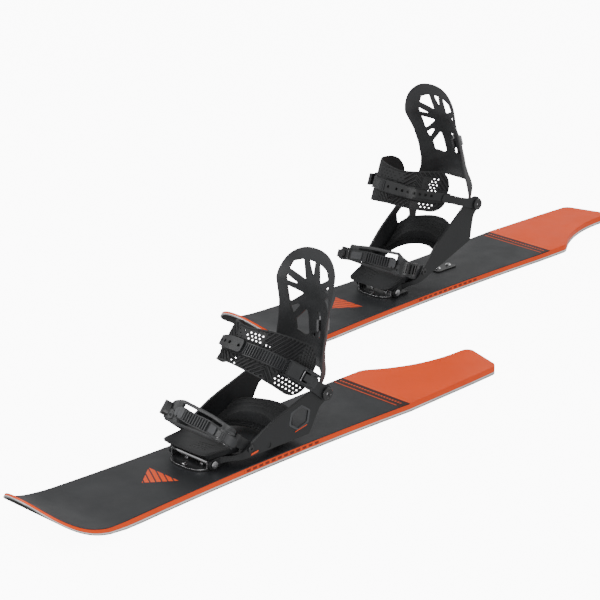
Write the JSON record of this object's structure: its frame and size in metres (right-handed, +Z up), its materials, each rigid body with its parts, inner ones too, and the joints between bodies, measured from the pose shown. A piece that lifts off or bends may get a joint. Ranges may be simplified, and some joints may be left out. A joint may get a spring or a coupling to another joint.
{
  "type": "short touring ski pair",
  "caption": "Pair of short touring skis with turned-up noses, cut-away tails and free-heel strap bindings that hinge at the toe.",
  "frame": {"origin": "on the floor under the centre of the laid-out pair", "axes": "+X towards the wearer's left ski, -Y towards the noses, +Z up"},
  "size_m": [0.4726, 1.6112, 0.35],
  "materials": {
    "base_sheet": "waxed sintered polyethylene, semi-matt",
    "edge_steel": "ground spring steel",
    "glass_laminate": "white glass laminate",
    "sidewall_plastic": "satin orange",
    "core_wood": "laminated poplar",
    "top_sheet_film": "matt charcoal film with orange tail",
    "steel_hardware": "satin",
    "chassis_plastic": "satin glass-filled nylon",
    "heel_pad_foam": "soft moulded foam",
    "highback_plastic": "satin nylon",
    "adjuster_metal": "bead blasted",
    "strap_pad_rubber": "soft moulded rubber",
    "ladder_plastic": "satin",
    "strap_arm_plastic": "satin",
    "ratchet_plastic": "satin"
  },
  "bodies": {
    "skis": {"left_running_base": "base_sheet", "left_steel_edge": "edge_steel", "left_glass_layer": "glass_laminate", "left_sidewall": "sidewall_plastic", "left_core": "core_wood", "left_top_sheet": "top_sheet_film", "left_toe_bracket": "steel_hardware", "left_toe_pivot_pin": "steel_hardware", "left_heel_rest": "steel_hardware", "right_running_base": "base_sheet", "right_steel_edge": "edge_steel", "right_glass_layer": "glass_laminate", "right_sidewall": "sidewall_plastic", "right_core": "core_wood", "right_top_sheet": "top_sheet_film", "right_toe_bracket": "steel_hardware", "right_toe_pivot_pin": "steel_hardware", "right_heel_rest": "steel_hardware"},
    "left_base": {"left_chassis": "chassis_plastic", "left_toe_ramp": "chassis_plastic", "left_heel_pad": "heel_pad_foam", "left_ankle_bolt_outer": "steel_hardware", "left_ankle_bolt_inner": "steel_hardware", "left_toe_bolt_outer": "steel_hardware", "left_toe_bolt_inner": "steel_hardware"},
    "left_back": {"left_highback": "highback_plastic"},
    "left_lean": {"left_lean_block": "adjuster_metal"},
    "left_ankle": {"left_ankle_arm_inner": "strap_arm_plastic", "left_ankle_arm_outer": "strap_arm_plastic", "left_ankle_pad": "strap_pad_rubber", "left_ankle_ladder": "ladder_plastic", "left_ankle_ratchet": "ratchet_plastic"},
    "left_ankle_catch": {"left_ankle_lever": "ratchet_plastic"},
    "left_toe": {"left_toe_arm_inner": "strap_arm_plastic", "left_toe_arm_outer": "strap_arm_plastic", "left_toe_cap": "strap_pad_rubber", "left_toe_ladder": "ladder_plastic", "left_toe_ratchet": "ratchet_plastic"},
    "left_toe_catch": {"left_toe_lever": "ratchet_plastic"},
    "right_base": {"right_chassis": "chassis_plastic", "right_toe_ramp": "chassis_plastic", "right_heel_pad": "heel_pad_foam", "right_ankle_bolt_outer": "steel_hardware", "right_ankle_bolt_inner": "steel_hardware", "right_toe_bolt_outer": "steel_hardware", "right_toe_bolt_inner": "steel_hardware"},
    "right_back": {"right_highback": "highback_plastic"},
    "right_lean": {"right_lean_block": "adjuster_metal"},
    "right_ankle": {"right_ankle_arm_inner": "strap_arm_plastic", "right_ankle_arm_outer": "strap_arm_plastic", "right_ankle_pad": "strap_pad_rubber", "right_ankle_ladder": "ladder_plastic", "right_ankle_ratchet": "ratchet_plastic"},
    "right_ankle_catch": {"right_ankle_lever": "ratchet_plastic"},
    "right_toe": {"right_toe_arm_inner": "strap_arm_plastic", "right_toe_arm_outer": "strap_arm_plastic", "right_toe_cap": "strap_pad_rubber", "right_toe_ladder": "ladder_plastic", "right_toe_ratchet": "ratchet_plastic"},
    "right_toe_catch": {"right_toe_lever": "ratchet_plastic"}
  },
  "joints": [
    {"name": "left_heel_lift", "type": "hinge", "parent": "skis", "child": "left_base", "pos_m": [0.1484, -0.47756, 0.024], "axis": [1, 0, 0], "range_deg": [0, 55]},
    {"name": "left_highback_fold", "type": "hinge", "parent": "left_base", "child": "left_back", "pos_m": [0.1484, -0.27716, 0.0818], "axis": [1, 0, 0], "range_deg": [0, 15]},
    {"name": "left_lean_slide", "type": "slide", "parent": "left_back", "child": "left_lean", "axis": [0, 0.034, 0.9994], "range_m": [-0.008, 0.008]},
    {"name": "left_ankle_swing", "type": "hinge", "parent": "left_base", "child": "left_ankle", "pos_m": [0.1484, -0.27716, 0.0818], "axis": [1, 0, 0], "range_deg": [-5, 12]},
    {"name": "left_toe_swing", "type": "hinge", "parent": "left_base", "child": "left_toe", "pos_m": [0.1484, -0.42756, 0.0405], "axis": [1, 0, 0], "range_deg": [-10, 10]},
    {"name": "left_ankle_lever", "type": "hinge", "parent": "left_ankle", "child": "left_ankle_catch", "pos_m": [0.23382, -0.32025, 0.11964], "axis": [0, 0.65, 0.76], "range_deg": [0, 60], "stiffness_Nm_per_rad": 0.05, "springref_deg": -11.46},
    {"name": "left_toe_lever", "type": "hinge", "parent": "left_toe", "child": "left_toe_catch", "pos_m": [0.23238, -0.47137, 0.06484], "axis": [0, 0.65, 0.76], "range_deg": [0, 60], "stiffness_Nm_per_rad": 0.05, "springref_deg": -11.46},
    {"name": "right_heel_lift", "type": "hinge", "parent": "skis", "child": "right_base", "pos_m": [-0.1484, 0.21344, 0.024], "axis": [1, 0, 0], "range_deg": [-20, 35]},
    {"name": "right_highback_fold", "type": "hinge", "parent": "right_base", "child": "right_back", "pos_m": [-0.1484, 0.38199, 0.14686], "axis": [1, 0, 0], "range_deg": [0, 15]},
    {"name": "right_lean_slide", "type": "slide", "parent": "right_back", "child": "right_lean", "axis": [0, -0.3099, 0.9508], "range_m": [-0.008, 0.008]},
    {"name": "right_ankle_swing", "type": "hinge", "parent": "right_base", "child": "right_ankle", "pos_m": [-0.1484, 0.38199, 0.14686], "axis": [1, 0, 0], "range_deg": [-5, 12]},
    {"name": "right_toe_swing", "type": "hinge", "parent": "right_base", "child": "right_toe", "pos_m": [-0.1484, 0.25478, 0.05661], "axis": [1, 0, 0], "range_deg": [-10, 10]},
    {"name": "right_ankle_lever", "type": "hinge", "parent": "right_ankle", "child": "right_ankle_catch", "pos_m": [-0.23382, 0.32855, 0.16767], "axis": [0, -0.3508, -0.9364], "range_deg": [0, 60], "stiffness_Nm_per_rad": 0.05, "springref_deg": -11.46},
    {"name": "right_toe_lever", "type": "hinge", "parent": "right_toe", "child": "right_toe_catch", "pos_m": [-0.23238, 0.20529, 0.06449], "axis": [0, -0.3508, -0.9364], "range_deg": [0, 60], "stiffness_Nm_per_rad": 0.05, "springref_deg": -11.46}
  ]
}
